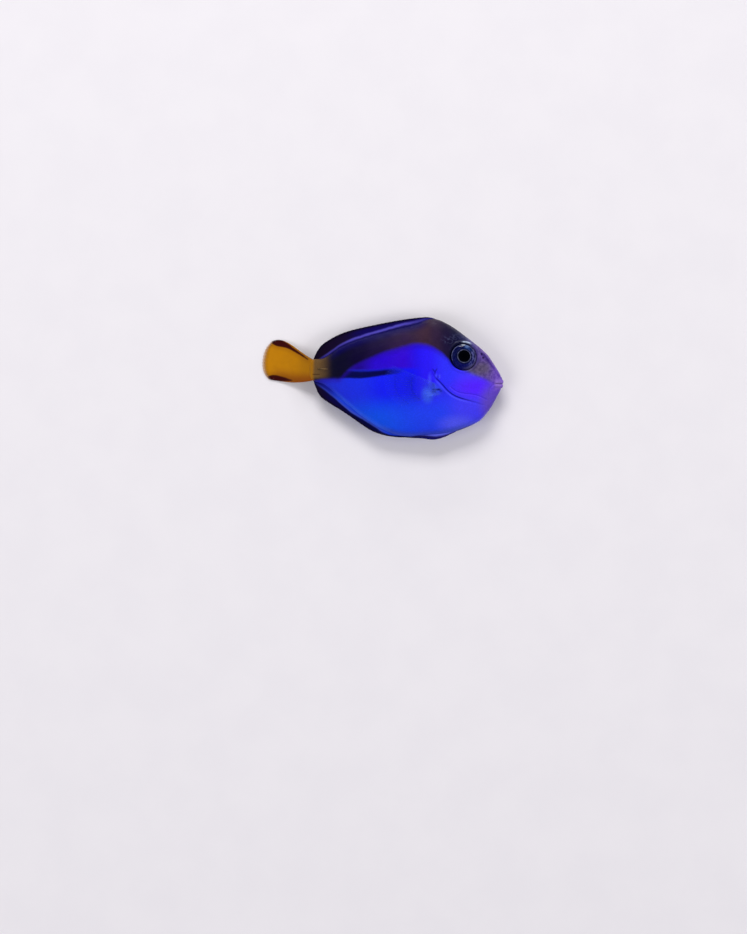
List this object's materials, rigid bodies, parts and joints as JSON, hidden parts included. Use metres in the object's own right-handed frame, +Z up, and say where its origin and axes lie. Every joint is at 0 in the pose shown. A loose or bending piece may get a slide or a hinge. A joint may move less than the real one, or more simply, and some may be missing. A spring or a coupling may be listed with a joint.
{
  "type": "regal blue tang",
  "caption": "Life-size juvenile regal blue tang lying on its left flank, with folded fins and a drooping yellow tail.",
  "frame": {"origin": "on the floor, under the middle of the fish's bounding box", "axes": "+X from tail to snout, +Y from belly to back, +Z up from the left flank to the right one"},
  "size_m": [0.03, 0.0154, 0.0053],
  "materials": {
    "blue_skin": "wet, glossy",
    "tan_skin": "wet, glossy",
    "dark_fin": "wet, satin",
    "yellow_fin": "wet, satin",
    "clear_fin": "thin, translucent",
    "violet_fin": "wet, satin",
    "eye": "polished"
  },
  "bodies": {
    "root": {"head": "blue_skin", "torso": "blue_skin", "gill_cover_right": "blue_skin", "gill_cover_left": "blue_skin", "tail_stalk": "tan_skin", "dorsal_fin": "dark_fin", "anal_fin": "dark_fin", "caudal_fin": "yellow_fin", "pectoral_fin_right": "clear_fin", "pectoral_fin_left": "clear_fin", "pelvic_fin_right": "violet_fin", "pelvic_fin_left": "violet_fin", "eye_right": "eye", "eye_left": "eye"}
  },
  "joints": []
}
